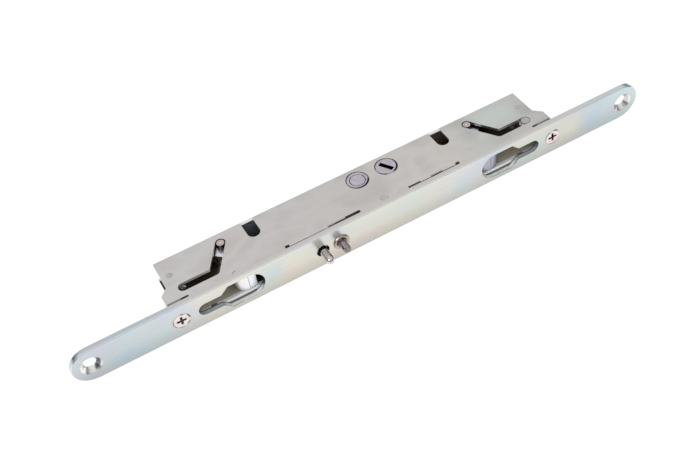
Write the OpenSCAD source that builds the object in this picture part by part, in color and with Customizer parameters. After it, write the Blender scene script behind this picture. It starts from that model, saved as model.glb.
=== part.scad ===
// Sliding door mortise lock with two hooks that come out of the faceplate and part.
// X runs along the lock, Y runs into the door from the front of the faceplate,
// and Z is square to the broad walls of the case. The origin is the middle of the
// faceplate's front face, halfway between the two mounting holes.

/* [Faceplate] */
// Overall length of the faceplate
plate_length = 293; // [286:1:300]
// Width of the faceplate
plate_width = 19; // [18:0.5:22]
// Thickness of the faceplate
plate_thickness = 2.5; // [2.3:0.1:3]
// Distance from each end of the faceplate to its mounting hole
mount_edge = 8.7; // [8:0.1:11]
// Diameter of each mounting hole
mount_hole_d = 5.4; // [5.2:0.1:5.8]
// Diameter of each mounting countersink at the front face
mount_sink_d = 9.8; // [9:0.1:10]
// Width of the narrow slope round the front face's edge
edge_slope = 0.5; // [0.2:0.1:0.8]

/* [Case] */
// Distance between the two screws that hold the case
case_screw_spacing = 193; // [191:0.5:196]
// How far the case reaches past each case screw
case_ear = 3.1; // [2.8:0.1:3.6]
// How much shorter each end of the case is behind its ear
case_step = 3.7; // [3:0.1:4]
// Depth of each ear behind the faceplate
ear_depth = 9.5; // [9.3:0.1:11]
// Depth of the case behind the faceplate
case_depth = 29; // [28:0.1:32]
// Thickness of the case over both walls
case_thickness = 11.8; // [11.4:0.1:13]
// Thickness of the sheet that the case is pressed from
sheet = 1.5; // [1.3:0.1:1.6]
// Half length of the front flange between the hook openings
flange_half = 54; // [50:0.5:55]
// Half length of the back wall
back_wall_half = 90; // [80:1:92]

/* [Handle screw windows] */
// Distance between the two windows that the handle screws pass through
window_spacing = 100; // [99:0.5:101]
// Width of each window
window_width = 6.1; // [5.6:0.1:6.4]
// Length of each window
window_length = 9.8; // [9:0.1:10]
// Metal between a window and the back edge of the case
window_edge = 1.7; // [1.6:0.1:2]

/* [Hubs] */
// Distance from the middle of the lock to the slotted hub
hub_x = 19.5; // [19:0.1:20.5]
// Distance from the hubs' axes to the back of the case
hub_edge = 7.5; // [7.2:0.1:7.8]
// Distance between the slotted hub and the idle hub
hub_spacing = 15.4; // [15:0.1:16]
// Diameter of each hub where it turns in the walls
hub_d = 10.7; // [10.5:0.1:11]
// Number of teeth round each hub
hub_teeth = 11; // [10:1:11]
// Length of the slot for the flat tailpiece
tail_length = 7.3; // [6.5:0.1:7.6]
// Width of the slot for the flat tailpiece
tail_width = 2.2; // [1.6:0.1:2.4]
// Angle of that slot at rest
tail_angle = -59; // [-90:1:90]

/* [Toothed drive] */
// Module of the hub, pinion and bar teeth
tooth_module = 0.8; // [0.78:0.01:0.82]
// Pressure angle of the teeth
pressure_angle = 25; // [22:1:26]
// Free play between two teeth in mesh
backlash = 0.16; // [0.12:0.02:0.24]
// Number of teeth on the reversing pinion
pinion_teeth = 9; // [8:1:9]
// Distance from the middle of the lock to the reversing pinion
pinion_x = 33; // [32.5:0.1:34]
// Diameter of the pinion's axle
axle_d = 3; // [2.6:0.1:3.4]
// Thickness of the two drive bars
bar_thickness = 1.8; // [1.6:0.1:2]
// Share of the room beside the wheels that the left bar's strip takes
strip_share = 0.625; // [0.6:0.005:0.64]

/* [Guide slots and hooks] */
// Distance from the middle of the lock to each guide pin at rest
pin_x = 65.3; // [65:0.1:66]
// Distance from each guide pin at rest to the back of the case
pin_edge = 5.6; // [5.4:0.1:6]
// Outward travel in the first leg of a guide slot
first_travel = 9.1; // [8.6:0.1:9.3]
// Travel towards the faceplate in the first leg of a guide slot
throw = 13.95; // [13.5:0.05:14.2]
// Outward travel along the whole guide slot
full_travel = 24; // [23:0.1:24.2]
// Diameter of each guide pin
guide_pin_d = 4; // [3.7:0.1:4.2]
// Width of each guide slot
slot_width = 4.7; // [4.6:0.1:5]
// Width of a hook's head along the lock
head_width = 9.7; // [9.4:0.1:9.9]
// Length of a hook's head, square to the faceplate
head_length = 4.6; // [4.2:0.1:5]
// Width of a hook's neck along the lock
neck_width = 5; // [4.6:0.1:5.4]
// Height of a hook's neck between the broad walls
neck_height = 6.4; // [6:0.1:6.8]
// Distance from a guide pin to the inner side of its hook
neck_offset = 5.9; // [5.5:0.1:6]
// Radius of the boss round each guide pin
boss_r = 5.8; // [5.4:0.1:6]
// Room above and below a hook's head in its opening
head_room = 2.6; // [2.4:0.1:3]

/* [Front pins] */
// Distance from the middle of the lock to the trigger pin
trigger_x = -27.7; // [-28.2:0.1:-27]
// Distance from the middle of the lock to the short pin
short_x = -18.4; // [-19:0.1:-18]
// Diameter of both front pins
front_pin_d = 4; // [3.8:0.1:4.2]
// How far the trigger pin stands out of the faceplate
trigger_reach = 8.5; // [7.5:0.1:9.5]
// How far the short pin stands out of the faceplate
short_reach = 6; // [5:0.1:7]
// Travel of the trigger pin when it is pushed in
trigger_travel = 5; // [4:0.1:5]
// Travel of the short pin when it is pushed in
short_travel = 4; // [3:0.1:4.5]
// Clearance hole round the trigger pin in the faceplate
trigger_hole_d = 6.3; // [6:0.1:6.8]
// Diameter of the bush round the short pin
bush_d = 6.2; // [6:0.1:6.6]
// Diameter of the bush's flange
bush_flange_d = 8.2; // [7.8:0.1:8.6]
// Distance from the middle of the lock to the lever's pivot post
lever_x = 8.4; // [8:0.1:9]
// Depth of the lever's pivot post behind the faceplate
lever_depth = 4.1; // [4:0.1:4.4]

/* [Hidden] */
$fn = 64;

// Clearances: between sliding faces, round a turning or sliding pin, and loose
slide_gap = 0.1;
turn_gap = 0.06;
free_gap = 0.3;
eps = 0.01;

// Planes square to Y, from the front of the lock to its back
front = plate_thickness;
back = front + case_depth;
flange_back = front + sheet;
wall_front = back - sheet;
// Half heights, square to the broad walls
outer = case_thickness / 2;
inside = outer - sheet;
bar_half = bar_thickness / 2;

// Half lengths of the case at its ears and behind them
ear_half = case_screw_spacing / 2 + case_ear;
body_half = ear_half - case_step;

// Toothed drive, from the hubs down to the front bar
pitch = PI * tooth_module;
addendum = 0.8 * tooth_module;
dedendum = tooth_module;
hub_y = back - hub_edge;
idle_x = hub_x - hub_spacing;
hub_pitch_r = tooth_module * hub_teeth / 2;
pinion_pitch_r = tooth_module * pinion_teeth / 2;
hub_rack_y = hub_y - hub_pitch_r;
lower_bar_front = flange_back + free_gap + slide_gap;
bar_room = hub_rack_y - 3 * dedendum - 2 * pinion_pitch_r - lower_bar_front;
strip_width = strip_share * bar_room;
strip_back = hub_rack_y - dedendum;
strip_front = strip_back - strip_width;
upper_rack_y = strip_front - dedendum;
pinion_y = upper_rack_y - pinion_pitch_r;
lower_rack_y = pinion_y - pinion_pitch_r;
lower_bar_back = lower_rack_y - dedendum;
waist_half = bar_half + 2 * slide_gap;

// Guide slot, arm of a drive bar and hook
pin_y = back - pin_edge;
corner_y = pin_y - throw;
pin_r = guide_pin_d / 2;
arm_wall = 2.1;
arm_foot = 1.4;
arm_slot_r = pin_r + slide_gap + turn_gap;
arm_half = arm_slot_r + arm_wall;
arm_front = corner_y - arm_slot_r - arm_foot;
arm_back = wall_front - free_gap - slide_gap;
hook_in = pin_x - neck_offset;
hook_out = hook_in + head_width;
head_front = front + slide_gap;
head_back = head_front + head_length;
head_half = inside - 2 * slide_gap;
neck_half = neck_height / 2;
cheek_in = bar_half + slide_gap;
crown_reach = 3.8;
crown_x = hook_in + crown_reach;
crown_drop = 0.7;
head_curve = [6.4, 4.53];
head_end_r = head_half + 0.3;

// Hook openings in the faceplate
inner_room = 2.8;
outer_room = 3.9;
opening_in = hook_in - inner_room;
opening_wide = head_half + head_room;
opening_narrow = neck_half + 2 * slide_gap;
opening_step = hook_out - head_half + first_travel * (head_back / throw) + outer_room;
opening_step_length = 3.6;
opening_out = hook_in + neck_width + full_travel;

// Front pins and what is behind them
front_pin_r = front_pin_d / 2;
collar_front = flange_back + free_gap;
trigger_collar_r = 3.7;
short_collar_r = 2.6;
stem_r = 1.3;
lever_thickness = 1.5;
lever_y = front + lever_depth;
lever_low = -inside + slide_gap;
lever_high = lever_low + lever_thickness;
lever_post_r = 1.9;
lever_pivot_r = 1.2;
lever_boss_r = lever_depth - sheet - free_gap;
lever_nose_r = 1;
lever_neck = 0.65;
groove_gap = 0.15;
groove_drop = 0.3;
groove_half = lever_nose_r + groove_gap;
groove_y = lever_y - groove_drop;
collar_lip = 0.8;
trigger_collar_back = groove_y + groove_half + collar_lip;
short_collar_length = 2;
short_collar_back = collar_front + short_collar_length;
spring_room = 8.6;
seat_thickness = 1.2;
seat_edge = 3.8;
seat_front = trigger_collar_back + spring_room;
seat_back = seat_front + seat_thickness;
stem_back = seat_back + 2 * slide_gap;
jog_room = 0.5;
jog_front = stem_back + trigger_travel + jog_room;
jog_back = jog_front + strip_width;
jog_in = idle_x - hub_d / 2 - free_gap - slide_gap;
seat_x0 = trigger_x - seat_edge;
seat_x1 = jog_in - strip_width - first_travel - free_gap - slide_gap;
jog_out = seat_x0 - strip_width - free_gap - slide_gap;

// Rest places of the two drive bars
upright_gap = 0.9;
upright_width = 4.5;
rack_tip = 1.4;
stop_reach = 6.4;
stop_width = 2.4;
stop_bite = 0.9;
notch_depth = 1.2;
right_strip_drop = 2.8;
strip_end = pinion_x + first_travel + 1.6 * pitch;
upright_x0 = strip_end + upright_gap;
upright_x1 = upright_x0 + upright_width;
lower_bar_end = pinion_x - first_travel - 1.2 * pitch - rack_tip;
tooth_x0 = lever_x + stop_reach;
tooth_x1 = tooth_x0 + stop_width;
tooth_tip = strip_front + stop_bite;
right_strip_front = strip_front - right_strip_drop;

// Small fittings
case_screw_head_r = 4.1;
case_screw_r = 1.95;
case_screw_reach = 12;
block_length = 7.6;
block_wing = 3.6;
block_front = flange_back;
block_back = block_front + block_length;
block_out = case_screw_spacing / 2 + case_ear - free_gap;
block_in = case_screw_spacing / 2 - block_wing;
post_inset = 3.9;
post_edge = 10;
post_x = body_half - post_inset;
post_y = back - post_edge;
post_r = 2.5;
stake_r = 1.5;
guide_inset = 0.4;
guide_x = opening_in + guide_inset;
guide_r = 1.6;
stop_x = pin_x + full_travel;
jig_d = 2.6;
jig_inset = 1.2;
jig_rise = 9;
jig_x = stop_x - jig_inset;
jig_y = corner_y + jig_rise;
pressed_depth = 0.4;
leaf_thickness = 0.4;
leaf_half = 2.2;
leaf_inset = 0.4;
leaf_foot = 7.5;
leaf_slope = 7.5;
leaf_pad = 2;
leaf_tip = 3;
leaf_tip_gap = 0.65;
leaf_rivet_r = 0.8;
leaf_x = jog_out + leaf_inset;
leaf_rivet_x = [leaf_x + leaf_foot / 5, leaf_x + leaf_foot * 2 / 3];
wire = 0.55;
coil_turns = 6;
ring_steps = 8;
wire_sides = 6;

// Notches along the front edge of the cover, each with its two ends and its depth
cover_notches = [
    [-ear_half + 0.4, -ear_half + 10.3, 4.2],
    [-42.5, -40.4, 4.7],
    [-40.4, -22.8, 3.5],
    [-22.8, -17.5, 3.4],
    [-17.5, -12, 3.9],
    [-12, -4.5, 4.7],
    [20.8, 27.3, 4.3],
    [27.3, 46.3, 3.6],
    [46.3, 48.4, 4.7],
    [ear_half - 10.3, ear_half - 0.4, 4.2]
];
// Ends of the short notches in the lower wall, on each side of the middle
lower_notch = [79, 82];
lower_notch_depth = 2;

// Slab with its outline in X and Z, standing from y0 to y1
module front_slab(y0, y1) {
    translate([0, y1, 0])
        rotate([90, 0, 0])
            linear_extrude(y1 - y0)
                children();
}

// Slab with its outline in X and Y, lying from z0 to z1
module flat_slab(z0, z1) {
    translate([0, 0, z0])
        linear_extrude(z1 - z0)
            children();
}

// Round bar along Y from y0 to y1, with the radii r0 and r1 at its two ends
module bar_y(x, y0, y1, r0, r1, z = 0) {
    translate([x, y0, z])
        rotate([-90, 0, 0])
            cylinder(h = y1 - y0, r1 = r0, r2 = r1);
}

// Round bar along Y from y0 to y1 with a half round front end
module domed_bar_y(x, y0, y1, r) {
    translate([x, y0, 0])
        rotate([-90, 0, 0])
            rotate_extrude() {
                intersection() {
                    translate([0, r])
                        circle(r = r);
                    square([r, r]);
                }
                translate([0, r - eps])
                    square([r, y1 - y0 - r + eps]);
            }
}

// Round bar along Z from z0 to z1
module bar_z(x, y, z0, z1, r) {
    translate([x, y, z0])
        cylinder(h = z1 - z0, r = r);
}

// Outline of a slot with round ends between two points
module capsule(a, b, width) {
    d = b - a;
    translate(a)
        circle(d = width);
    translate(b)
        circle(d = width);
    translate(a)
        rotate(atan2(d[1], d[0]))
            translate([0, -width / 2])
                square([norm(d), width]);
}

module box2(x0, x1, y0, y1) {
    translate([x0, y0])
        square([x1 - x0, y1 - y0]);
}

module both_sides() {
    children();
    mirror([1, 0, 0])
        children();
}

// Outline of one keyhole opening, seen from the front, on the right of the lock
module hook_opening() {
    translate([opening_in + opening_wide, 0])
        circle(r = opening_wide);
    box2(opening_in + opening_wide, opening_step, -opening_wide, opening_wide);
    polygon([[opening_step - eps, opening_wide], [opening_step, opening_wide],
        [opening_step + opening_step_length, opening_narrow],
        [opening_step + opening_step_length, -opening_narrow],
        [opening_step, -opening_wide], [opening_step - eps, -opening_wide]]);
    box2(opening_step, opening_out - opening_narrow, -opening_narrow, opening_narrow);
    translate([opening_out - opening_narrow, 0])
        circle(r = opening_narrow);
}

// Blank of the faceplate: round ends, and a narrow slope all round its front face
module plate_blank() {
    end_r = plate_width / 2;
    end_x = plate_length / 2 - end_r;
    both_sides() {
        bar_y(end_x, 0, edge_slope, end_r - edge_slope, end_r);
        bar_y(end_x, edge_slope, plate_thickness, end_r, end_r);
    }
    translate([-end_x, 0, 0])
        rotate([90, 0, 90])
            linear_extrude(2 * end_x)
                polygon([[0, edge_slope - end_r], [edge_slope, -end_r], [plate_thickness, -end_r],
                    [plate_thickness, end_r], [edge_slope, end_r], [0, end_r - edge_slope]]);
}

module faceplate() {
    mount_x = plate_length / 2 - mount_edge;
    sink_depth = (mount_sink_d - mount_hole_d) / 2;
    color("silver")
        difference() {
            plate_blank();
            front_slab(-1, plate_thickness + 1)
                both_sides()
                    hook_opening();
            both_sides() {
                bar_y(mount_x, -1, plate_thickness + 1, mount_hole_d / 2, mount_hole_d / 2);
                bar_y(mount_x, -eps, sink_depth, mount_sink_d / 2 + eps, mount_hole_d / 2);
                case_screw_hole();
            }
            bar_y(trigger_x, -1, plate_thickness + 1, trigger_hole_d / 2, trigger_hole_d / 2);
            bar_y(short_x, -1, plate_thickness + 1, bush_d / 2 + turn_gap, bush_d / 2 + turn_gap);
        }
}

// Countersunk clearance hole for one case screw
module case_screw_hole() {
    sink_r = case_screw_head_r + slide_gap;
    hole_r = case_screw_r + 2 * slide_gap;
    x = case_screw_spacing / 2;
    bar_y(x, -1, flange_back + 1, hole_r, hole_r);
    bar_y(x, -eps, sink_r - hole_r, sink_r + eps, hole_r);
}

// Outline of a broad wall of the case
module wall_outline() {
    ear_y = front + ear_depth;
    polygon([[-ear_half, front], [ear_half, front], [ear_half, ear_y],
        [body_half, ear_y + case_step], [body_half, back],
        [-body_half, back], [-body_half, ear_y + case_step], [-ear_half, ear_y]]);
}

// Bent guide slot on the right of the lock: two round ends, and one outline for its legs
module guide_slot() {
    r = slot_width / 2;
    start = [pin_x, pin_y];
    corner = [pin_x + first_travel, corner_y];
    end = [pin_x + full_travel, corner_y];
    lean = atan2(first_travel, throw);
    side = r * [cos(lean), sin(lean)];
    bend_steps = 12;
    bend = [for (i = [0:bend_steps]) let (a = lean - 180 + (90 - lean) * i / bend_steps)
        corner + r * [cos(a), sin(a)]];
    for (p = [start, end])
        translate(p)
            circle(r = r);
    polygon(concat([start - side], bend, [end - [0, r], end + [0, r],
        corner + [r * tan((90 - lean) / 2), r], start + side]));
}

// Window for a handle screw on the right of the lock, round at its front end
module handle_window() {
    r = window_width / 2;
    y1 = back - window_edge;
    y0 = y1 - window_length + r;
    box2(window_spacing / 2 - r, window_spacing / 2 + r, y0, y1);
    translate([window_spacing / 2, y0])
        circle(r = r);
}

// Everything that is cut through both broad walls alike
module wall_cuts() {
    both_sides() {
        guide_slot();
        handle_window();
        translate([post_x, post_y])
            circle(r = stake_r + turn_gap / 2);
    }
    for (x = [idle_x, hub_x])
        translate([x, hub_y])
            circle(r = hub_d / 2 + slide_gap);
}

module guide_places() {
    translate([-guide_x, strip_front - guide_r - 2 * slide_gap])
        children();
    translate([-guide_x, strip_back + guide_r + 2 * slide_gap])
        children();
    translate([guide_x, strip_back + guide_r + 2 * slide_gap])
        children();
}

module case_body() {
    color("gainsboro")
        difference() {
            union() {
                flat_slab(-outer, -inside)
                    lower_wall();
                flat_slab(-inside - eps, inside) {
                    box2(-back_wall_half, back_wall_half, wall_front, back);
                    box2(-flange_half, flange_half, front, flange_back);
                    both_sides()
                        box2(block_in - 0.8, ear_half, front, flange_back);
                }
                flat_slab(-inside - eps, inside - seat_thickness)
                    box2(seat_x0, seat_x1, seat_front, seat_back);
            }
            both_sides()
                case_screw_hole();
            for (x = [trigger_x, short_x]) {
                bar_y(x, front - 1, flange_back + 1, front_pin_r + turn_gap, front_pin_r + turn_gap);
                bar_y(x, seat_front - 1, seat_back + 1, stem_r + slide_gap, stem_r + slide_gap);
            }
            for (x = leaf_rivet_x)
                bar_y(x, wall_front - 1, back + 1, leaf_rivet_r + turn_gap / 2,
                    leaf_rivet_r + turn_gap / 2);
        }
}

module lower_wall() {
    difference() {
        wall_outline();
        wall_cuts();
        translate([pinion_x, pinion_y])
            circle(r = axle_d / 2 + turn_gap / 2);
        translate([lever_x, lever_y])
            circle(r = lever_pivot_r + turn_gap / 2);
        guide_places()
            circle(r = stake_r + turn_gap / 2);
        both_sides() {
            box2(lower_notch[0], lower_notch[1], front - 1, front + lower_notch_depth);
            translate([jig_x, jig_y])
                circle(d = jig_d);
        }
    }
}

module case_cover() {
    color("lightgray")
        difference() {
            flat_slab(inside, outer)
                difference() {
                    wall_outline();
                    wall_cuts();
                    translate([lever_x, lever_y])
                        circle(r = lever_post_r + turn_gap / 2);
                    for (n = cover_notches)
                        box2(n[0], n[1], front - 1, front + n[2]);
                }
            flat_slab(outer - pressed_depth, outer + 1)
                translate([-pin_x - 1.8, front + 2.9])
                    pressed_mark();
        }
}

// Small pressed mark near the front edge of the cover
module pressed_mark() {
    difference() {
        circle(r = 1.7);
        translate([0.5, -0.9])
            circle(r = 1.4);
    }
}

// Posts that hold the two broad walls apart, staked over on the outside
module spacer_posts() {
    color("darkgray") {
        both_sides() {
            bar_z(post_x, post_y, -outer, outer, stake_r);
            bar_z(post_x, post_y, -inside, inside, post_r);
        }
        bar_z(lever_x, lever_y, -outer, inside, lever_pivot_r);
        bar_z(lever_x, lever_y, lever_high + slide_gap, inside, lever_boss_r);
        bar_z(lever_x, lever_y, inside - eps, outer - 0.1, lever_post_r);
    }
}

// Posts that keep the plain strips of the drive bars in line
module bar_guides() {
    color("darkgray")
        guide_places() {
            bar_z(0, 0, -outer, -inside + eps, stake_r);
            bar_z(0, 0, -inside, inside - 2 * slide_gap, guide_r);
        }
}

// Tapped blocks behind the ears, one for each case screw
module screw_blocks() {
    color("darkgray")
        both_sides()
            difference() {
                flat_slab(-inside, inside)
                    box2(block_in, block_out, block_front, block_back);
                bar_y(case_screw_spacing / 2, block_front - 1, block_back + 1,
                    case_screw_r + turn_gap, case_screw_r + turn_gap);
            }
}

// Countersunk screws with cross recesses
module case_screws() {
    color("mistyrose") {
        case_screw(-1, -1);
        case_screw(1, 4);
    }
}

// One case screw on the side given, with its cross turned by the angle given
module case_screw(side, turn) {
    head_depth = case_screw_head_r - case_screw_r;
    x = side * case_screw_spacing / 2;
    difference() {
        union() {
            bar_y(x, 0, head_depth, case_screw_head_r, case_screw_r);
            bar_y(x, head_depth - eps, case_screw_reach - 0.5, case_screw_r, case_screw_r);
            bar_y(x, case_screw_reach - 0.5 - eps, case_screw_reach, case_screw_r, case_screw_r - 0.5);
        }
        intersection() {
            bar_y(x, -1, 1.9, 3.4, 0.5);
            front_slab(-1, 2)
                translate([x, 0])
                    rotate(turn) {
                        square([5, 1.15], center = true);
                        square([1.15, 5], center = true);
                    }
        }
    }
}

// Angle in degrees between a tooth's flank at radius r and its start on the base circle
function flank_angle(r, base) = let (a = acos(min(1, base / r))) tan(a) * 180 / PI - a;

// Half the angle of a tooth at radius r
function tooth_half(r, pitch_r, teeth, base) =
    (pitch / 2 - backlash / 2) / 2 / pitch_r * 180 / PI
    + flank_angle(pitch_r, base) - flank_angle(max(r, base), base);

// Outline of a toothed wheel with the middle of one tooth at the angle given
module wheel_outline(teeth, angle) {
    pitch_r = tooth_module * teeth / 2;
    base = pitch_r * cos(pressure_angle);
    root = pitch_r - dedendum;
    tip = pitch_r + addendum;
    radii = [root, max(root, base), pitch_r, (pitch_r + tip) / 2, tip];
    last = len(radii) - 1;
    polygon([for (k = [0:teeth - 1]) for (s = [-1, 1]) for (i = [0:last])
        let (r = radii[s < 0 ? i : last - i],
            a = angle + 360 * k / teeth + s * tooth_half(r, pitch_r, teeth, base))
        r * [cos(a), sin(a)]]);
}

// Teeth of a straight rack from x0 to x1, pointing along +Y from their pitch line at y.
// One of them is centred on phase
module rack_teeth(x0, x1, y, phase) {
    half = (pitch - backlash) / 4;
    lean = tan(pressure_angle);
    first = ceil((x0 - phase) / pitch);
    last = floor((x1 - phase) / pitch);
    for (k = [first:last])
        translate([phase + k * pitch, y])
            polygon([[-half - dedendum * lean, -dedendum - eps],
                [half + dedendum * lean, -dedendum - eps],
                [half - addendum * lean, addendum], [-half + addendum * lean, addendum]]);
}

// Spool shaped hub: two round journals in the walls and a toothed waist between them
module hub_blank(x, tooth_turn) {
    translate([x, hub_y, 0]) {
        for (s = [0, 1])
            mirror([0, 0, s]) {
                translate([0, 0, waist_half])
                    cylinder(h = outer - 0.3 - waist_half, r = hub_d / 2);
                translate([0, 0, outer - 0.3 - eps])
                    cylinder(h = 0.3 + eps, r1 = hub_d / 2, r2 = hub_d / 2 - 0.3);
            }
        flat_slab(-waist_half - eps, waist_half + eps)
            wheel_outline(hub_teeth, -90 + tooth_turn);
    }
}

module drive_hub() {
    color("lightslategray")
        difference() {
            hub_blank(hub_x, 0);
            translate([hub_x, hub_y, -outer - 1])
                linear_extrude(2 * outer + 2)
                    rotate(tail_angle)
                        square([tail_length, tail_width], center = true);
        }
}

module idle_hub() {
    gap_x = hub_x + round((idle_x - hub_x) / pitch) * pitch;
    color("lightslategray")
        difference() {
            hub_blank(idle_x, (gap_x - idle_x) / hub_pitch_r * 180 / PI);
            translate([idle_x, hub_y, outer - 0.35])
                difference() {
                    cylinder(h = 1, r = 3.85);
                    translate([0, 0, -1])
                        cylinder(h = 3, r = 3.45);
                }
        }
}

// Upright arm at the outer end of a drive bar, with the cross slot for the guide pin
module bar_arm() {
    difference() {
        box2(pin_x - arm_half, pin_x + arm_half, arm_front, arm_back);
        capsule([pin_x, corner_y], [pin_x, pin_y], 2 * arm_slot_r);
    }
}

// Bar of the left hook, driven by the hubs and passing the motion to the pinion
module left_drive_bar() {
    color("tan")
        flat_slab(-bar_half, bar_half) {
            mirror([1, 0, 0])
                bar_arm();
            difference() {
                union() {
                    box2(-pin_x + arm_half - eps, jog_out + strip_width, strip_front, strip_back);
                    box2(jog_out, jog_out + strip_width, strip_front, jog_back);
                    box2(jog_out, jog_in, jog_front, jog_back);
                    box2(jog_in - strip_width, jog_in, strip_front, jog_back);
                    box2(jog_in - strip_width, strip_end, strip_front, strip_back);
                }
                box2(tooth_x0 - 0.3, tooth_x1 + first_travel + 1.9, strip_front - 1,
                    strip_front + notch_depth);
            }
            rack_teeth(idle_x - 1.3 * pitch, hub_x + first_travel + 1.3 * pitch, hub_rack_y,
                hub_x + pitch / 2);
            translate([0, upper_rack_y])
                mirror([0, 1])
                    rack_teeth(pinion_x - 1.2 * pitch, strip_end - 0.5 * pitch, 0, pinion_x + pitch / 2);
        }
}

// Bar of the right hook, driven by the front side of the reversing pinion
module right_drive_bar() {
    color("tan")
        flat_slab(-bar_half, bar_half) {
            bar_arm();
            box2(lower_bar_end, upright_x1, lower_bar_front, lower_bar_back);
            box2(upright_x0, upright_x1, lower_bar_front, strip_back);
            box2(upright_x0, pin_x - arm_half + eps, right_strip_front, strip_back);
            rack_teeth(lower_bar_end + 0.5 * pitch, pinion_x + 1.2 * pitch, lower_rack_y, pinion_x);
        }
}

module reversing_pinion() {
    color("goldenrod")
        difference() {
            translate([pinion_x, pinion_y, 0]) {
                flat_slab(-waist_half, waist_half)
                    wheel_outline(pinion_teeth, 90);
                translate([0, 0, -inside + slide_gap])
                    cylinder(h = 2 * (inside - slide_gap) - 1.4, r = axle_d / 2 + 0.9);
            }
            bar_z(pinion_x, pinion_y, -outer, outer, axle_d / 2 + turn_gap);
        }
}

module pinion_axle() {
    color("darkgray") {
        bar_z(pinion_x, pinion_y, -outer, inside - 0.2, axle_d / 2);
        bar_z(pinion_x, pinion_y, inside - 1.2, inside - 0.2, axle_d / 2 + 0.8);
    }
}

// Outline of a hook's head: a front that rises to a crown and curves back to the outer side
module head_outline() {
    centre = [hook_out - head_curve[0], head_front + head_curve[1]];
    start = acos((crown_x - centre[0]) / head_curve[0]);
    arc = [for (i = [0:10]) let (a = -start * (1 - i / 10))
        centre + [head_curve[0] * cos(a), head_curve[1] * sin(a)]];
    polygon(concat([[hook_in, head_back], [hook_in, head_front + crown_drop]], arc,
        [[hook_out, head_back]]));
}

// Outline of a hook's head from the front: square at its inner end, round at its outer end
module head_face() {
    end_x = hook_out - head_end_r;
    box2(hook_in - 1, end_x, -head_half - 1, head_half + 1);
    translate([end_x, 0])
        circle(r = head_end_r);
}

// Outline of the cheeks that hold the guide pin
module cheek_outline() {
    intersection() {
        union() {
            translate([pin_x, pin_y])
                circle(r = boss_r);
            box2(hook_in, hook_in + neck_width, head_back - eps, pin_y);
            polygon([[hook_in + neck_width - eps, pin_y - 1.6 * boss_r],
                [pin_x + 0.55 * boss_r, pin_y - 0.835 * boss_r], [pin_x, pin_y],
                [hook_in + neck_width - eps, pin_y]]);
        }
        box2(hook_in - boss_r, pin_x + 2 * boss_r, 0, wall_front - free_gap);
    }
}

// Right hook: a head wider than its neck, and two cheeks either side of the bar's arm
module hook_shape() {
    difference() {
        union() {
            intersection() {
                flat_slab(-head_half, head_half)
                    head_outline();
                front_slab(head_front - 1, head_back + 1)
                    head_face();
            }
            flat_slab(-neck_half, neck_half)
                cheek_outline();
        }
        flat_slab(-cheek_in, cheek_in)
            box2(hook_in - boss_r - 1, pin_x + 2 * boss_r, arm_front - free_gap, back);
        bar_z(pin_x, pin_y, -outer, outer, pin_r + turn_gap / 2);
    }
}

module right_hook() {
    color("lavender")
        hook_shape();
}

module left_hook() {
    color("lavender")
        mirror([1, 0, 0])
            hook_shape();
}

module guide_pin() {
    color("gray")
        bar_z(pin_x, pin_y, -outer + slide_gap, outer - slide_gap, pin_r);
}

module right_guide_pin() {
    guide_pin();
}

module left_guide_pin() {
    mirror([1, 0, 0])
        guide_pin();
}

// Trigger pin: domed nose, collar behind the flange with a groove for the lever, stem
module trigger_pin() {
    color("whitesmoke")
        difference() {
            union() {
                domed_bar_y(trigger_x, -trigger_reach, collar_front + eps, front_pin_r);
                bar_y(trigger_x, collar_front, trigger_collar_back, trigger_collar_r, trigger_collar_r);
                bar_y(trigger_x, trigger_collar_back - eps, stem_back, stem_r, stem_r);
            }
            translate([trigger_x - trigger_collar_r - 1, groove_y - groove_half, -2 * trigger_collar_r])
                cube([2 * trigger_collar_r + 2, 2 * groove_half, 2 * trigger_collar_r + lever_high + 0.2]);
        }
}

module short_pin() {
    color("dimgray") {
        bar_y(short_x, -short_reach, -short_reach + 0.5, front_pin_r - 0.4, front_pin_r);
        bar_y(short_x, -short_reach + 0.5 - eps, collar_front + eps, front_pin_r, front_pin_r);
        bar_y(short_x, collar_front, short_collar_back, short_collar_r, short_collar_r);
        bar_y(short_x, short_collar_back - eps, stem_back, stem_r, stem_r);
    }
}

// Bush with a flange that stands proud of the faceplate
module short_pin_bush() {
    flange_height = 0.8;
    color("peru")
        difference() {
            union() {
                bar_y(short_x, -flange_height, 0, bush_flange_d / 2 - 0.4, bush_flange_d / 2);
                bar_y(short_x, -eps, front - slide_gap, bush_d / 2, bush_d / 2);
            }
            bar_y(short_x, -1, front + 1, front_pin_r + slide_gap, front_pin_r + slide_gap);
            bar_y(short_x, -flange_height - eps, 0, front_pin_r + 0.9, front_pin_r + slide_gap);
        }
}

// Points round the wire of a coil spring along Y, one ring for each step
function coil_ring(x, y0, y1, r, i, steps) =
    let (a = 360 * coil_turns * i / steps, y = y0 + (y1 - y0) * i / steps)
    [for (k = [0:wire_sides - 1])
        let (b = 360 * k / wire_sides, rr = r + wire / 2 * cos(b))
        [x + rr * cos(a), y + wire / 2 * sin(b), rr * sin(a)]];

module coil_spring(x, y0, y1, r) {
    steps = coil_turns * ring_steps;
    rings = [for (i = [0:steps]) coil_ring(x, y0 + wire / 2, y1 - wire / 2, r, i, steps)];
    sides = [for (i = [0:steps - 1]) for (k = [0:wire_sides - 1])
        let (j = (k + 1) % wire_sides, a = i * wire_sides, b = a + wire_sides)
        each [[a + k, b + k, b + j], [a + k, b + j, a + j]]];
    ends = [for (k = [1:wire_sides - 2]) each [[0, k, k + 1],
        [steps * wire_sides, steps * wire_sides + k + 1, steps * wire_sides + k]]];
    echo(str("spring gap ", (y1 - y0 - wire) / coil_turns - wire));
    polyhedron(points = [for (ring = rings) each ring], faces = concat(sides, ends));
}

module trigger_spring() {
    color("slategray")
        coil_spring(trigger_x, trigger_collar_back + 0.05, seat_front - 0.05, 2.2);
}

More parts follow.
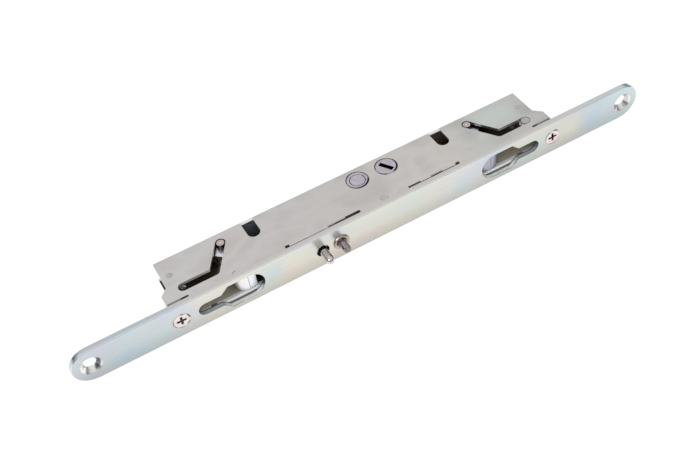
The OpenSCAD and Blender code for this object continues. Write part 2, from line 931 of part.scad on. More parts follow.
module short_pin_spring() {
    color("slategray")
        coil_spring(short_x, short_collar_back + 0.05, seat_front - 0.05, 1.9);
}

// Rocking lever: its long arm sits in the trigger pin's groove, its tooth stops the left bar
module trigger_lever() {
    color("burlywood")
        difference() {
            union() {
                flat_slab(lever_low, lever_high) {
                    translate([lever_x, lever_y])
                        circle(r = lever_boss_r);
                    translate([trigger_x, groove_y])
                        circle(r = lever_nose_r);
                    polygon([[lever_x, lever_y - 0.9], [lever_x, lever_y + 2.6],
                        [trigger_x + 5.5, groove_y + 2.6], [trigger_x + 3.2, groove_y + lever_neck],
                        [trigger_x, groove_y + lever_neck], [trigger_x, groove_y - lever_neck],
                        [trigger_x + 3.2, groove_y - lever_neck], [trigger_x + 4.5, groove_y - 1]]);
                    box2(lever_x, tooth_x1, lever_y - 0.6, lever_y + 1.9);
                    box2(tooth_x0, tooth_x1, lever_y - 0.6, tooth_tip);
                }
                flat_slab(lever_high - eps, bar_half)
                    box2(tooth_x0, tooth_x1, tooth_tip - 3.2, tooth_tip);
            }
            bar_z(lever_x, lever_y, -outer, outer, lever_pivot_r + turn_gap);
        }
}

// Leaf spring that steadies the left bar, riveted to the back wall
module bar_spring() {
    t = leaf_thickness;
    y1 = wall_front - t;
    y2 = jog_back + slide_gap;
    foot_x = leaf_x + leaf_foot;
    pad_x = foot_x + leaf_slope;
    rise_x = pad_x + leaf_pad;
    tip_x = rise_x + leaf_tip;
    tip_y = y1 - leaf_tip_gap;
    color("lightsteelblue")
        difference() {
            flat_slab(-leaf_half, leaf_half)
                polygon([[leaf_x, y1], [foot_x, y1], [pad_x, y2], [rise_x, y2],
                    [tip_x, tip_y], [tip_x - t / 2, tip_y + t],
                    [rise_x - t / 2, y2 + t], [pad_x + t / 2, y2 + t], [foot_x + t / 2, wall_front],
                    [leaf_x, wall_front]]);
            for (x = leaf_rivet_x)
                bar_y(x, y1 - 1, back, leaf_rivet_r + turn_gap / 2, leaf_rivet_r + turn_gap / 2);
        }
}

module bar_spring_rivets() {
    head_y = wall_front - leaf_thickness;
    color("darkgray")
        for (x = leaf_rivet_x) {
            bar_y(x, head_y - 0.5, head_y, 1, 1.3);
            bar_y(x, head_y - eps, back, leaf_rivet_r, leaf_rivet_r);
        }
}

// Stud in the outer end of the right guide slot, which shortens the second leg
module stroke_stop() {
    color("lightgray") {
        bar_z(stop_x, corner_y, -outer + slide_gap, outer - slide_gap, slot_width / 2 - 0.25);
        bar_z(stop_x, corner_y, -inside, inside, slot_width / 2 + 0.6);
    }
}

faceplate();
case_body();
case_cover();
spacer_posts();
bar_guides();
screw_blocks();
case_screws();
drive_hub();
idle_hub();
left_drive_bar();
right_drive_bar();
reversing_pinion();
pinion_axle();
left_hook();
right_hook();
left_guide_pin();
right_guide_pin();
trigger_pin();
trigger_spring();
trigger_lever();
short_pin();
short_pin_bush();
short_pin_spring();
bar_spring();
bar_spring_rivets();
stroke_stop();
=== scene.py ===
import math
import bmesh
import bpy
from mathutils import Matrix, Vector


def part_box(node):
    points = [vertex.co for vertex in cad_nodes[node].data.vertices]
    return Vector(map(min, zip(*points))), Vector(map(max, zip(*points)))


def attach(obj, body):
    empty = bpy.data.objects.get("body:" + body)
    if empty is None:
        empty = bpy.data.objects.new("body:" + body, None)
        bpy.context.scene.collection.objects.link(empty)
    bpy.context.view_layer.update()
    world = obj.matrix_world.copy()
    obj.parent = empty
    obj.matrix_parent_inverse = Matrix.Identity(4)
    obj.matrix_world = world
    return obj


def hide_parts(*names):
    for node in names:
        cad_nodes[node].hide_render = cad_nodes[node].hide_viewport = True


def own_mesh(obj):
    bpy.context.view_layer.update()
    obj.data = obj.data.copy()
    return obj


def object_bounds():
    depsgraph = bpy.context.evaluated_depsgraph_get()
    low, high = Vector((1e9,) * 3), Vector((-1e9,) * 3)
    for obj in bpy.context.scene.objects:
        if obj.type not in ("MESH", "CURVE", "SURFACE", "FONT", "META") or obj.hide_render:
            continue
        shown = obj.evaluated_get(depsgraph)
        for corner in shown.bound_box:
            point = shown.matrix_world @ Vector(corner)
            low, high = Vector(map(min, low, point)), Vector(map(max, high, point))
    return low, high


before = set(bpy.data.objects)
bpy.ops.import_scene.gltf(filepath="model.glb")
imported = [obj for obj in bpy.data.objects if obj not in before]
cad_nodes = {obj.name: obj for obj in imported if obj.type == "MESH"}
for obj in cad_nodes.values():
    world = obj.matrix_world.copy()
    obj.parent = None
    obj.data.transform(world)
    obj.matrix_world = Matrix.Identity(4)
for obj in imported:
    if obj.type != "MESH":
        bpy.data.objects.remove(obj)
cad_low, cad_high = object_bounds()


# Light table and camera. The lock lies with its cover up on a sheet of opal acrylic, lit from
# below. Just under the lock its glow is cut to almost nothing, a painted shadow, so its slots
# look down on dark. White paper hangs round and over it, and the dim room shows in a band
# below the paper, which round metal mirrors.
def linear(colour):
    """Linear red, green, blue and alpha of an sRGB hex colour."""
    parts = [int(colour[i : i + 2], 16) / 255 for i in (1, 3, 5)]
    return [c / 12.92 if c <= 0.04045 else ((c + 0.055) / 1.055) ** 2.4 for c in parts] + [1.0]


def add_node(tree, kind, settings, stops=()):
    """One node. A setting that is another node's output is linked. Stops are its ramp's colours."""
    node = tree.nodes.new(kind)
    for name, value in settings.items():
        if isinstance(value, bpy.types.NodeSocket):
            tree.links.new(value, node.inputs[name])
        elif isinstance(name, int) or name in node.inputs:
            node.inputs[name].default_value = value
        else:
            setattr(node, name, value)
    if stops:
        steps = node.color_ramp.elements
        while len(steps) < len(stops):
            steps.new(0.5)
        for step, (position, colour) in zip(steps, stops):
            step.position = position
            step.color = linear(colour)
    return node


def within(tree, place, fade, x=(-1.0, 1.0), y=(-1.0, 1.0), z=(-1.0, 1.0)):
    """A mask, 1 inside a box and 0 from fade beyond its faces, in metres.
    Along an axis that is left out, the box runs past the lock both ways."""
    middle = [(low + high) / 2 for low, high in (x, y, z)]
    half = [(high - low) / 2 for low, high in (x, y, z)]
    moved = add_node(tree, "ShaderNodeVectorMath", {"operation": "SUBTRACT", 0: place, 1: middle})
    away = add_node(tree, "ShaderNodeVectorMath", {"operation": "ABSOLUTE", 0: moved.outputs[0]})
    past = add_node(
        tree, "ShaderNodeVectorMath", {"operation": "SUBTRACT", 0: away.outputs[0], 1: half}
    )
    past_x, past_y, past_z = add_node(tree, "ShaderNodeSeparateXYZ", {0: past.outputs[0]}).outputs
    wide = add_node(tree, "ShaderNodeMath", {"operation": "MAXIMUM", 0: past_x, 1: past_y})
    most = add_node(tree, "ShaderNodeMath", {"operation": "MAXIMUM", 0: wide.outputs[0], 1: past_z})
    mask = add_node(
        tree, "ShaderNodeMapRange", {"From Min": fade, "From Max": 0.0, "Value": most.outputs[0]}
    )
    return mask.outputs["Result"]


camera_right = Vector((0.8661, -0.4872, -0.1117))
camera_down = Vector((-0.4287, -0.6093, -0.6671))
camera_forward = Vector((0.2571, 0.6257, -0.7365))
camera_place = (-0.1311, -0.2857, 0.3391)
camera_data = bpy.data.cameras.new("copy_camera")
camera_data.sensor_width = 36.0
camera_data.lens = 52.97
camera_data.clip_start = 0.01
camera = bpy.data.objects.new("copy_camera", camera_data)
camera_turn = Matrix((camera_right, -camera_down, -camera_forward)).transposed()
camera.matrix_world = Matrix.Translation(camera_place) @ camera_turn.to_4x4()
bpy.context.scene.collection.objects.link(camera)
bpy.context.scene.camera = camera
bpy.context.scene.view_settings.view_transform = "Standard"

table_half = 2.0
table_gap = 0.00005
table_mesh = bpy.data.meshes.new("opal_table")
table_form = bmesh.new()
bmesh.ops.create_grid(table_form, x_segments=4, y_segments=4, size=table_half)
table_form.to_mesh(table_mesh)
table_form.free()
table = bpy.data.objects.new("opal_table", table_mesh)
table.location = (0, 0, cad_low.z - table_gap)
bpy.context.scene.collection.objects.link(table)
opal_acrylic = bpy.data.materials.new("opal_acrylic")
opal_acrylic.use_nodes = True
opal_tree = opal_acrylic.node_tree
opal_shader = opal_tree.nodes["Principled BSDF"]
opal_shader.inputs["Base Color"].default_value = linear("#6c6c6c")
opal_shader.inputs["Roughness"].default_value = 0.9
opal_shader.inputs["Specular IOR Level"].default_value = 0.1
opal_shader.inputs["Emission Color"].default_value = linear("#ffffff")
lit_glow = 0.95
painted_shadow_glow = 0.02
opal_place = add_node(opal_tree, "ShaderNodeTexCoord", {}).outputs["Object"]
# Painted shadow: the glow is cut to almost nothing under the case and just behind the plate's front.
case_shadow = within(opal_tree, opal_place, fade=0.004, x=(-0.088, 0.095), y=(0.0055, 0.033))
plate_shadow = within(opal_tree, opal_place, fade=0.0012, x=(-0.136, 0.136), y=(0.0012, 0.0045))
painted_shadow = add_node(opal_tree, "ShaderNodeMath", {"operation": "MAXIMUM", 0: case_shadow, 1: plate_shadow})
glow = add_node(
    opal_tree, "ShaderNodeMapRange",
    {"To Min": lit_glow, "To Max": painted_shadow_glow, "Value": painted_shadow.outputs[0]},
)
opal_tree.links.new(glow.outputs["Result"], opal_shader.inputs["Emission Strength"])
table_mesh.materials.append(opal_acrylic)

world = bpy.data.worlds.new("paper_tent")
bpy.context.scene.world = world
world.use_nodes = True
tent = world.node_tree
tent.nodes.clear()
tent_place = add_node(tent, "ShaderNodeTexCoord", {})
tent_axes = add_node(tent, "ShaderNodeSeparateXYZ", {0: tent_place.outputs["Generated"]})
tent_height = add_node(
    tent, "ShaderNodeValToRGB", {"Fac": tent_axes.outputs["Z"]},
    [(0.0, "#4e4e52"), (0.2, "#55555a"), (0.3, "#8c8c90"), (0.42, "#b8b8bb"), (0.56, "#e3e3e3"),
     (0.75, "#e7e6e6"), (1.0, "#f1f0ef")],
)
tent_light = add_node(tent, "ShaderNodeBackground", {"Color": tent_height.outputs["Color"]})
add_node(tent, "ShaderNodeOutputWorld", {"Surface": tent_light.outputs["Background"]})

lamp_place = Vector((-1.0, -0.35, 0.9))
lamp_data = bpy.data.lights.new("left_softbox", "AREA")
lamp_data.size = 0.7
lamp_data.energy = 4.0
lamp = bpy.data.objects.new("left_softbox", lamp_data)
lamp.location = lamp_place
lamp.rotation_mode = "QUATERNION"
lamp.rotation_quaternion = (-lamp_place).to_track_quat("-Z", "Y")
bpy.context.scene.collection.objects.link(lamp)


# Faceplate. Cold rolled steel strip, 2.5 mm thick, blanked, pierced and countersunk, then
# zinc plated and dipped in a blue passivate. The film is so thin that it shows as pale
# patches of blue, green, straw and rose on a soft mirror. The blanked edges are rounded.
def soften(node, radius, flat_angle=0.6):
    """Rounds the sharp edges of a piece. Faces that lie within the flat angle are joined first.
    Radius in metres, angle in degrees."""
    sharp_angle = 30
    piece = cad_nodes[node]
    weld = piece.modifiers.new("joined_corners", "WELD")
    weld.merge_threshold = 1e-6
    if flat_angle:
        flatten = piece.modifiers.new("whole_flat_faces", "DECIMATE")
        flatten.decimate_type = "DISSOLVE"
        flatten.angle_limit = math.radians(flat_angle)
    bevel = piece.modifiers.new("broken_edges", "BEVEL")
    bevel.width = radius
    bevel.segments = 2
    bevel.limit_method = "ANGLE"
    bevel.angle_limit = math.radians(sharp_angle)
    bevel.use_clamp_overlap = True
    level = piece.modifiers.new("level_faces", "WEIGHTED_NORMAL")
    level.mode = "FACE_AREA_WITH_ANGLE"
    level.weight = 100
    for face in piece.data.polygons:
        face.use_smooth = True


def dress(nodes, material):
    """Gives pieces of the frame their material."""
    for name in nodes:
        slots = cad_nodes[name].data.materials
        slots.clear()
        slots.append(material)


def start_metal(name):
    """A bare metal, with its tree, its shader and places on the lock in metres."""
    material = bpy.data.materials.new(name)
    material.use_nodes = True
    tree = material.node_tree
    shader = tree.nodes["Principled BSDF"]
    shader.inputs["Metallic"].default_value = 1.0
    place = add_node(tree, "ShaderNodeTexCoord", {}).outputs["Object"]
    return material, tree, shader, place


def coat(tree, tone, over, share, mask=None, way="MIX"):
    """The tone with a hex colour or another tone laid over it, as strongly as share says.
    With a mask, it lies only where the mask is 1."""
    if mask is not None:
        part = add_node(tree, "ShaderNodeMath", {"operation": "MULTIPLY", 0: mask, 1: share})
        share = part.outputs[0]
    if isinstance(over, str):
        over = linear(over)
    laid = add_node(
        tree, "ShaderNodeMix", {"data_type": "RGBA", "blend_type": way, 0: share, 6: tone, 7: over}
    )
    return laid.outputs[2]


def along(tree, place, axis, start, end, stops):
    """Colours laid along one axis of the lock, from start to end in metres."""
    axes = add_node(tree, "ShaderNodeSeparateXYZ", {0: place})
    share = add_node(
        tree, "ShaderNodeMapRange", {"From Min": start, "From Max": end, "Value": axes.outputs[axis]}
    )
    ramp = add_node(tree, "ShaderNodeValToRGB", {"Fac": share.outputs["Result"]}, stops)
    return ramp.outputs["Color"]


def clouds(tree, place, size, stops, stretch=(1, 1, 1), detail=3.0):
    """Soft patches of colour, each about as wide as size in metres."""
    lie = add_node(tree, "ShaderNodeMapping", {"Scale": stretch, "Vector": place})
    noise = add_node(
        tree, "ShaderNodeTexNoise",
        {"Scale": 1 / size, "Detail": detail, "Roughness": 0.5, "Vector": lie.outputs["Vector"]},
    )
    ramp = add_node(tree, "ShaderNodeValToRGB", {"Fac": noise.outputs["Fac"]}, stops)
    return ramp.outputs["Color"]


def rings(tree, place, middle, keep, reach, stops):
    """Colours in rings about a line through middle, out to reach in metres.
    Keep is 0 along the line and 1 across it."""
    moved = add_node(tree, "ShaderNodeVectorMath", {"operation": "SUBTRACT", 0: place, 1: middle})
    level = add_node(
        tree, "ShaderNodeVectorMath", {"operation": "MULTIPLY", 0: moved.outputs[0], 1: keep}
    )
    far = add_node(tree, "ShaderNodeVectorMath", {"operation": "LENGTH", 0: level.outputs[0]})
    share = add_node(tree, "ShaderNodeMath", {"operation": "DIVIDE", 0: far.outputs["Value"], 1: reach})
    ramp = add_node(tree, "ShaderNodeValToRGB", {"Fac": share.outputs[0]}, stops)
    return ramp.outputs["Color"]


def finish_surface(
    tree, shader, place, tone, roughness, grain, stretch=(1, 1, 1), depth=0.000004, dull=None
):
    """The tone, and the fine grain that varies a worked surface's gloss and dents it, in metres.
    Where the mask called dull is 1, the surface is torn or grimy and has hardly any gloss.
    Real grain is too fine to show, so it is drawn about as wide as the render can show."""
    dull_roughness = 0.65
    dull_metal = 0.5
    tree.links.new(tone, shader.inputs["Base Color"])
    lie = add_node(tree, "ShaderNodeMapping", {"Scale": stretch, "Vector": place})
    fine = add_node(
        tree, "ShaderNodeTexNoise",
        {"Scale": 1 / grain, "Detail": 4.0, "Roughness": 0.6, "Vector": lie.outputs["Vector"]},
    )
    worked = add_node(
        tree, "ShaderNodeMapRange",
        {"To Min": roughness[0], "To Max": roughness[1], "Value": fine.outputs["Fac"]},
    )
    rough = worked.outputs["Result"]
    if dull is not None:
        torn = add_node(tree, "ShaderNodeMath", {"operation": "MULTIPLY", 0: dull, 1: dull_roughness})
        rougher = add_node(tree, "ShaderNodeMath", {"operation": "MAXIMUM", 0: rough, 1: torn.outputs[0]})
        rough = rougher.outputs[0]
        bare = add_node(tree, "ShaderNodeMapRange", {"To Min": 1.0, "To Max": dull_metal, "Value": dull})
        tree.links.new(bare.outputs["Result"], shader.inputs["Metallic"])
    tree.links.new(rough, shader.inputs["Roughness"])
    bump = add_node(
        tree, "ShaderNodeBump", {"Strength": 0.6, "Distance": depth, "Height": fine.outputs["Fac"]}
    )
    tree.links.new(bump.outputs["Normal"], shader.inputs["Normal"])


def span(middle, half):
    """The low and the high end of a length about its middle."""
    return middle - half, middle + half


plate_low, plate_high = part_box("faceplate")
plate_half = plate_high.x
crisp = 0.0001
plate_back = plate_high.y + crisp
blue_passivated_zinc, tree, shader, place = start_metal("blue_passivated_zinc")
film = along(
    tree, place, "X", -plate_half, plate_half,
    [(0.0, "#c4cfdb"), (0.06, "#bdcbdb"), (0.15, "#c6d5e0"), (0.21, "#dbdeda"), (0.3, "#dcdbd5"),
     (0.42, "#e0dbd4"), (0.55, "#d9dad4"), (0.66, "#d6dbde"), (0.72, "#d0d7d6"), (0.8, "#d2d5d1"),
     (0.87, "#cccfcf"), (0.92, "#b9d2e0"), (1.0, "#cbdbe3")],
)
spot_half = 0.001
spot_fade = 0.006
for spot_x, spot_z, colour in (
    (-0.0515, 0.002, "#b9d6e8"), (0.0465, -0.001, "#bdd9ea"), (0.119, -0.001, "#b3c3e2"),
    (0.106, 0.0, "#dfdfd2"), (-0.043, 0.0, "#e8ddd6"),
):
    spot = within(tree, place, spot_fade, x=span(spot_x, spot_half), z=span(spot_z, spot_half))
    film = coat(tree, film, colour, share=0.6, mask=spot)
film_patch = 0.022
patches = clouds(
    tree, place, film_patch,
    [(0.3, "#b3cde0"), (0.4, "#cbe0dc"), (0.48, "#dfe0c9"), (0.56, "#e6dac8"), (0.63, "#e3cfca"),
     (0.72, "#c9cfe4")],
    stretch=(0.6, 1, 1), detail=1.5,
)
tone = coat(tree, film, patches, share=0.26)
# Painted shade: the plate darkens towards its lower edge.
painted_low_shade = along(
    tree, place, "Z", plate_low.z, plate_high.z, [(0.0, "#dcdad8"), (0.5, "#f7f6f5"), (1.0, "#ffffff")]
)
tone = coat(tree, tone, painted_low_shade, share=1.0, way="MULTIPLY")
side_tone = along(
    tree, place, "X", -plate_half, plate_half,
    [(0.0, "#c6d2d8"), (0.14, "#c9d3d9"), (0.18, "#d8d5d4"), (0.82, "#dad7d5"), (0.86, "#dbdfe1"),
     (1.0, "#dde2e5")],
)
side_film = within(tree, place, crisp, y=(0.0007, plate_back))
tone = coat(tree, tone, side_tone, share=1.0, mask=side_film)
# A painted highlight along the rounded front edges.
edge_highlight = within(tree, place, fade=0.00008, y=(0.00014, 0.00042))
tone = coat(tree, tone, "#f6f9fa", share=0.6, mask=edge_highlight)

# The walls of the keyhole openings, painted light low down and dark high up, with painted
# shade in their round ends and a painted shadow in the seam where the plate meets the case.
opening_inner_end = 0.0575
opening_outer_end = 0.0915
opening_half = 0.0076
openings_x = span(0, opening_outer_end)
openings_z = span(0, opening_half)
cut_walls = within(tree, place, crisp, x=openings_x, y=(0.0004, plate_back), z=openings_z)
# Painted light and shade: the lower walls near white, the upper walls dark.
wall_light_and_shade = along(
    tree, place, "Z", -opening_half, opening_half,
    [(0.0, "#fdfffe"), (0.14, "#f2fbf8"), (0.28, "#c3d0d0"), (0.45, "#5f7078"), (1.0, "#56666e")],
)
tone = coat(tree, tone, wall_light_and_shade, share=1.0, mask=cut_walls)
end_fade = 0.0012
end_depth = 0.004
# Painted shade in the round ends of the openings.
for end_x in (-opening_inner_end, opening_outer_end):
    round_end = within(
        tree, place, end_fade, x=(end_x - end_fade, end_x + end_depth), z=(-0.003, opening_half)
    )
    shaded_end_wall = add_node(tree, "ShaderNodeMath", {"operation": "MULTIPLY", 0: round_end, 1: cut_walls})
    tone = coat(tree, tone, "#151c20", share=0.85, mask=shaded_end_wall.outputs[0])
# A painted shadow in the seam between the plate and the case.
seam_shadow = within(tree, place, crisp, x=openings_x, y=(0.0021, plate_back), z=openings_z)
tone = coat(tree, tone, "#1d2325", share=0.9, mask=seam_shadow)

# The countersinks of the mounting holes, painted bright as a highlight with painted shade on
# their far walls, and the hole round the trigger pin, painted dark as shade.
mount_x = 0.1378
sink_half = 0.005
far_wall_x = 0.0014
for hole_x, shaded in ((-mount_x, 0.85), (mount_x, 0.35)):
    # A painted highlight in each countersink, and painted shade on its far wall.
    sink_highlight = within(
        tree, place, crisp, x=span(hole_x, sink_half), y=(0.0002, 0.00236), z=span(0, sink_half)
    )
    tone = coat(tree, tone, "#fdfbf8", share=0.9, mask=sink_highlight)
    far_wall_shade = within(
        tree, place, fade=0.0007, x=(hole_x + far_wall_x, hole_x + sink_half), y=(0.0009, 0.0017),
        z=(-sink_half, 0.0045),
    )
    tone = coat(tree, tone, "#4a565e", share=shaded, mask=far_wall_shade)
pin_hole_x = -0.0277
pin_hole_half = 0.0033
# Painted shade: the hole round the trigger pin is near black.
pin_hole_shade = within(
    tree, place, crisp, x=span(pin_hole_x, pin_hole_half), y=(0.0003, 0.003), z=span(0, pin_hole_half)
)
tone = coat(tree, tone, "#191b1d", share=0.92, mask=pin_hole_shade)
finish_surface(
    tree, shader, place, tone, roughness=(0.24, 0.31), grain=0.0005, stretch=(0.1, 1, 1),
    depth=0.0000008, dull=cut_walls,
)
soften("faceplate", radius=0.00018)
dress(["faceplate"], blue_passivated_zinc)


# Case. Two pressings of 1.5 mm zinc plated sheet, a body folded round its back and front
# and a flat cover. The rolled sheet is satin, a little warm, with faint wipe marks.
case_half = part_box("case_cover")[1].x
satin_zinc_sheet, tree, shader, place = start_metal("satin_zinc_sheet")
sheet_tone = along(
    tree, place, "X", -case_half, case_half,
    [(0.0, "#dfdddd"), (0.2, "#dfdcdb"), (0.5, "#dedbd9"), (0.63, "#e2dfdc"), (0.75, "#e2dfdb"),
     (0.84, "#d9dcd9"), (1.0, "#dad8d6")],
)
wipe_mark = 0.014
marks = clouds(
    tree, place, wipe_mark, [(0.3, "#ececec"), (0.5, "#ffffff"), (0.7, "#f3f1ef")], stretch=(0.6, 1, 1)
)
tone = coat(tree, sheet_tone, marks, share=1.0, way="MULTIPLY")
green_film = within(tree, place, fade=0.009, x=(0.072, 0.084), y=(0.021, 0.026), z=(0.004, 0.007))
tone = coat(tree, tone, "#dfe8e2", share=0.75, mask=green_film)
window_x = 0.05
strip_left = 0.0026
strip_right = 0.0029
# A painted highlight on the back bend above each window.
for middle_x in (-window_x, window_x):
    bend_highlight = within(
        tree, place, fade=0.0002, x=(middle_x - strip_left, middle_x + strip_right), y=(0.0299, 0.032),
        z=(0.0045, 0.007),
    )
    tone = coat(tree, tone, "#ffffff", share=0.95, mask=bend_highlight)
drive_hub_x = 0.0195
idle_hub_x = 0.0041
hub_y = 0.024
about_z = (1, 1, 0)
hub_reach = 0.006
gap_shade_left = 0.0002
gap_shade_back = 0.00032
# Painted shade in the gap round each hub, off centre so one side is darker.
for hub_x in (drive_hub_x, idle_hub_x):
    gap_shade = rings(
        tree, place, middle=(hub_x - gap_shade_left, hub_y + gap_shade_back, 0), keep=about_z, reach=hub_reach,
        stops=[(0.83, "#ffffff"), (0.842, "#1b1718"), (0.868, "#1b1718"), (0.88, "#ffffff")],
    )
    tone = coat(tree, tone, gap_shade, share=0.9, way="MULTIPLY")

# The inside of the walls, in an olive brown painted shade that deepens towards the back.
# It is darkest behind the hooks, in painted shade, and lighter under the windows, in painted light.
wall_back = 0.0302
wall_top = 0.00442
depth_shade = [(0.0, "#c9c3b5"), (0.25, "#a59d8b"), (0.5, "#625a47"), (1.0, "#4c4432")]
depth_shade_front = 0.004
depth_shade_back = 0.030
inner_faces = within(tree, place, crisp, x=(-0.0999, 0.0945), y=(0.0041, wall_back), z=(-0.0046, wall_top))
# Painted shade, darker away from the openings.
inner_tone = along(tree, place, "Y", depth_shade_front, depth_shade_back, depth_shade)
# Painted shade behind the hooks.
shade_behind_hooks = within(tree, place, fade=0.0012, x=span(0, 0.0593), y=(0.004, 0.013))
inner_tone = coat(tree, inner_tone, "#23292c", share=0.88, mask=shade_behind_hooks)
# Painted light under each window, blue grey on the left and brown on the right.
for middle_x, window_light_tone in ((-window_x, "#8c9ca3"), (window_x, "#85756a")):
    window_light = within(tree, place, fade=0.002, x=span(middle_x, 0.005), y=(0.015, 1.0))
    inner_tone = coat(tree, inner_tone, window_light_tone, share=0.8, mask=window_light)
open_end = within(tree, place, fade=0.001, x=(-0.2, -0.0965))
inner_tone = coat(tree, inner_tone, "#5a4a42", share=0.85, mask=open_end)
tone = coat(tree, tone, inner_tone, share=1.0, mask=inner_faces)
# Painted light on the front edges of the walls in the openings.
lit_wall_fronts = within(tree, place, crisp, x=openings_x, y=(0.0024, 0.0040), z=span(0, 0.0059))
tone = coat(tree, tone, "#ffffff", share=0.9, mask=lit_wall_fronts)
# Painted shade along the front edge of the cover at its notches.
for notch_shade_x in ((-0.0205, -0.0125), (0.0335, 0.0385)):
    notch_shade = within(tree, place, fade=0.0010, x=notch_shade_x, y=(0.0055, 0.0062), z=(0.0048, 0.0065))
    tone = coat(tree, tone, "#3c3a39", share=0.8, mask=notch_shade)
torn = within(tree, place, crisp, x=openings_x, y=(0.0024, wall_back), z=(-opening_half, wall_top))
finish_surface(
    tree, shader, place, tone, roughness=(0.32, 0.46), grain=0.0004, stretch=(0.15, 1, 1),
    depth=0.000003, dull=torn,
)
soften("case_body", radius=0.0002)
soften("case_cover", radius=0.0002)
dress(["case_body", "case_cover"], satin_zinc_sheet)


# Posts, blocks and studs. Bare free cutting steel, a little darker than the plated sheet. The
# posts and studs are turned and staked in the walls, the rivets hold the leaf spring, and the
# case screws go into the blocks.
def plain_metal(name, colours, patch, roughness, grain, depth=0.000004):
    """A bare or plated metal with soft patches of two colours, sizes in metres."""
    material, tree, shader, place = start_metal(name)
    tone = clouds(tree, place, patch, [(0.35, colours[0]), (0.65, colours[1])])
    finish_surface(tree, shader, place, tone, roughness, grain, depth=depth)
    return material


turned_steel = plain_metal(
    "turned_steel", ("#cfcdcb", "#bfbdbb"), patch=0.006, roughness=(0.28, 0.40), grain=0.0003
)
dress(
    ["spacer_posts", "bar_guides", "screw_blocks", "pinion_axle", "bar_spring_rivets", "stroke_stop"],
    turned_steel,
)


# Case screws. Countersunk machine screws, nickel plated, with cross recesses. Nickel is a
# slightly warm, bright white metal. Broken arcs of painted shade lie in the gap round the
# heads, and the recesses are painted dark as shade.
case_screw_x = 0.0965
recess_half = 0.0027
edge_left = 0.00015
edge_down = 0.0001
nickel_plate, tree, shader, place = start_metal("nickel_plate")
tone = clouds(tree, place, size=0.004, stops=[(0.35, "#eae1de"), (0.65, "#dfd4d1")])
broken = clouds(tree, place, size=0.0028, stops=[(0.44, "#000000"), (0.56, "#ffffff")], detail=0.0)
for head_x in (-case_screw_x, case_screw_x):
    # Painted shade in broken arcs in the gap round each head.
    edge_gap_shade = rings(
        tree, place, middle=(head_x - edge_left, 0, -edge_down), keep=(1, 0, 1), reach=0.0045,
        stops=[(0.74, "#ffffff"), (0.78, "#cfc6c4"), (0.86, "#a59f9f"), (0.9, "#2e2528"),
               (0.98, "#2e2528"), (1.0, "#ffffff")],
    )
    edge_gap_shade = coat(tree, edge_gap_shade, broken, share=0.85, way="LIGHTEN")
    tone = coat(tree, tone, edge_gap_shade, share=0.95, way="MULTIPLY")
    # Painted shade in the cross recess.
    recess_shade = within(
        tree, place, crisp, x=span(head_x, recess_half), y=(0.00015, 0.003), z=span(0, recess_half)
    )
    tone = coat(tree, tone, "#33211f", share=0.92, mask=recess_shade)
finish_surface(tree, shader, place, tone, roughness=(0.18, 0.30), grain=0.0003)
soften("case_screws", radius=0.00008, flat_angle=0)
dress(["case_screws"], nickel_plate)


# Hubs. Sintered steel spools that turn in the walls, the right one with a slot for the
# tailpiece. Their faces are finely ground and look a cool lilac beside the sheet.
rim_left = 0.00024
rim_back = 0.00038
sintered_steel, tree, shader, place = start_metal("sintered_steel")
tone = clouds(tree, place, size=0.003, stops=[(0.35, "#d3ced9"), (0.65, "#c6c1cc")])
broken = clouds(tree, place, size=0.004, stops=[(0.5, "#000000"), (0.62, "#ffffff")], detail=0.0)
for hub_x in (drive_hub_x, idle_hub_x):
    # Painted shade round each hub's rim, off centre and broken up.
    rim_shade = rings(
        tree, place, middle=(hub_x - rim_left, hub_y + rim_back, 0), keep=about_z, reach=hub_reach,
        stops=[(0.82, "#ffffff"), (0.832, "#1b1718"), (0.97, "#1b1718"), (0.985, "#ffffff")],
    )
    rim_shade = coat(tree, rim_shade, broken, share=0.7, way="LIGHTEN")
    tone = coat(tree, tone, rim_shade, share=0.95, way="MULTIPLY")
# A painted highlight: a pale ring in the idle hub's groove.
groove_highlight = rings(
    tree, place, middle=(idle_hub_x, hub_y, 0), keep=about_z, reach=0.0039,
    stops=[(0.0, "#000000"), (0.86, "#000000"), (0.89, "#ffffff"), (0.985, "#ffffff"), (1.0, "#000000")],
)
tone = coat(tree, tone, "#ffffff", share=1.0, mask=groove_highlight)
finish_surface(tree, shader, place, tone, roughness=(0.28, 0.42), grain=0.0003)
soften("drive_hub", radius=0.0001)
soften("idle_hub", radius=0.0001)
dress(["drive_hub", "idle_hub"], sintered_steel)


# Drive bars, lever and pinion, inside the case. Blanked steel with the same olive brown
# painted shade as the case's inside, darker towards the back, and a brass pinion.
depth_shaded_steel, tree, shader, place = start_metal("depth_shaded_steel")
tone = along(tree, place, "Y", depth_shade_front, depth_shade_back, depth_shade)
finish_surface(tree, shader, place, tone, roughness=(0.35, 0.5), grain=0.0004)
dress(["left_drive_bar", "right_drive_bar", "trigger_lever"], depth_shaded_steel)
machined_brass = plain_metal(
    "machined_brass", ("#b9985a", "#a58448"), patch=0.004, roughness=(0.25, 0.38), grain=0.0003
)
dress(["reversing_pinion"], machined_brass)


# Hooks. Hardened steel, tumbled and nickel plated, with two curved faces that meet in a
# ridge across the nose. The plating is a soft, very pale lilac mirror.
hooks_half = 0.07
ridge_inner = 0.06308
ridge_outer = 0.06330
satin_nickel, tree, shader, place = start_metal("satin_nickel")
# Painted light and shade: the left hook near white, the right one a darker lilac grey.
tone = along(
    tree, place, "X", -hooks_half, hooks_half,
    [(0.0, "#efeff4"), (0.4, "#ecebf2"), (0.6, "#b3b0be"), (1.0, "#aeabb9")],
)
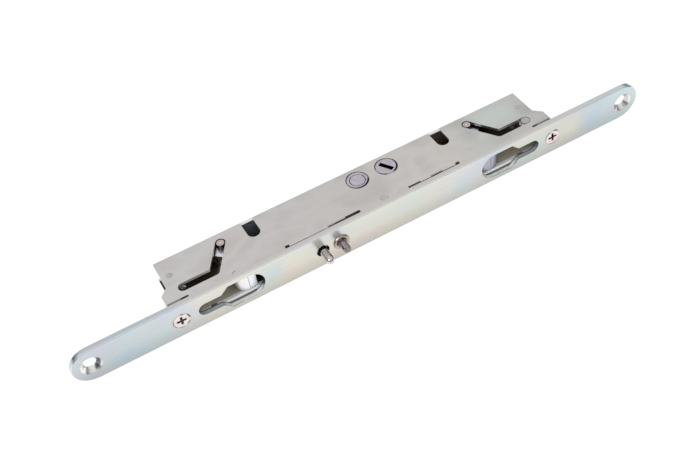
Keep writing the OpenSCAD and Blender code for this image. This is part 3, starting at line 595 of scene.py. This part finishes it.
# Painted shade along the ridge across each nose.
for ridge_x in ((-ridge_outer, -ridge_inner), (ridge_inner, ridge_outer)):
    ridge_shade = within(tree, place, fade=0.00006, x=ridge_x, y=(-0.001, 0.0045), z=span(0, 0.006))
    tone = coat(tree, tone, "#57565f", share=0.75, mask=ridge_shade)
finish_surface(tree, shader, place, tone, roughness=(0.22, 0.34), grain=0.0003)
soften("left_hook", radius=0.00015)
soften("right_hook", radius=0.00015)
dress(["left_hook", "right_hook"], satin_nickel)


# Guide pins. Ground steel pins through the hooks' bosses, which slide in the slots of both
# walls. Their flat ends are painted in rings: bright, with a ring of painted shade beside a
# ring of painted highlight, and darkest round the edge in painted shade.
guide_pin_x = 0.0653
guide_pin_y = 0.0259
ground_steel, tree, shader, place = start_metal("ground_steel")
mirrored = add_node(tree, "ShaderNodeVectorMath", {"operation": "ABSOLUTE", 0: place}).outputs[0]
# Painted rings of shade and highlight on the pin ends, darkest at the edge.
tone = rings(
    tree, mirrored, middle=(guide_pin_x, guide_pin_y, 0), keep=about_z, reach=0.0021,
    stops=[(0.0, "#ded2cf"), (0.4, "#d6cac7"), (0.52, "#a59799"), (0.62, "#ddd2d0"), (0.8, "#c8bdbc"),
           (0.9, "#544a4b"), (1.0, "#443a3c")],
)
finish_surface(tree, shader, place, tone, roughness=(0.20, 0.30), grain=0.0003)
soften("left_guide_pin", radius=0.00015)
soften("right_guide_pin", radius=0.00015)
dress(["left_guide_pin", "right_guide_pin"], ground_steel)


# Trigger pin. Turned steel with a domed nose under hard chrome, a clear, cold mirror. It
# slides in a wide hole in the faceplate, and its collar stands behind the case's flange.
hard_chrome = plain_metal(
    "hard_chrome", ("#ddd7d6", "#cfc8c8"), patch=0.004, roughness=(0.04, 0.09), grain=0.0003,
    depth=0.0000008,
)
dress(["trigger_pin"], hard_chrome)


# Short pin and its bush. An oiled bronze pin, a pale purple grey with a darker, browner end face,
# in a flanged bush of tan bronze that is pressed into the faceplate.
dark_end_from = -0.00575
oiled_bronze, tree, shader, place = start_metal("oiled_bronze")
tone = clouds(tree, place, size=0.003, stops=[(0.35, "#d6ccd3"), (0.65, "#aea3a9")])
dark_end = within(tree, place, fade=0.0002, y=(-1.0, dark_end_from))
tone = coat(tree, tone, "#857973", share=0.9, mask=dark_end)
finish_surface(tree, shader, place, tone, roughness=(0.08, 0.15), grain=0.0003)
soften("short_pin", radius=0.00012)
dress(["short_pin"], oiled_bronze)
bearing_bronze = plain_metal(
    "bearing_bronze", ("#c0b2a6", "#a79a8e"), patch=0.003, roughness=(0.22, 0.32), grain=0.0003
)
soften("short_pin_bush", radius=0.00012)
dress(["short_pin_bush"], bearing_bronze)


# Springs. Coils of drawn music wire between each front pin's collar and the case's tab,
# and a leaf of tempered strip riveted to the back wall. All are grey steel with a slight
# shine. Each coil is a copy of its part that rides with the case.
music_wire = plain_metal(
    "music_wire", ("#9a9b9d", "#87888a"), patch=0.003, roughness=(0.22, 0.34), grain=0.0003
)
dress(["bar_spring"], music_wire)
for node, joint, travel in (
    ("trigger_spring", "trigger_push", 0.005), ("short_pin_spring", "short_pin_push", 0.004)
):
    coil_mesh = cad_nodes[node].data.copy()
    coil_mesh.materials.clear()
    coil_mesh.materials.append(music_wire)
    coil = bpy.data.objects.new(node + "_coil", coil_mesh)
    bpy.context.scene.collection.objects.link(coil)
    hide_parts(node)
    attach(coil, "case")
    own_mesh(coil)
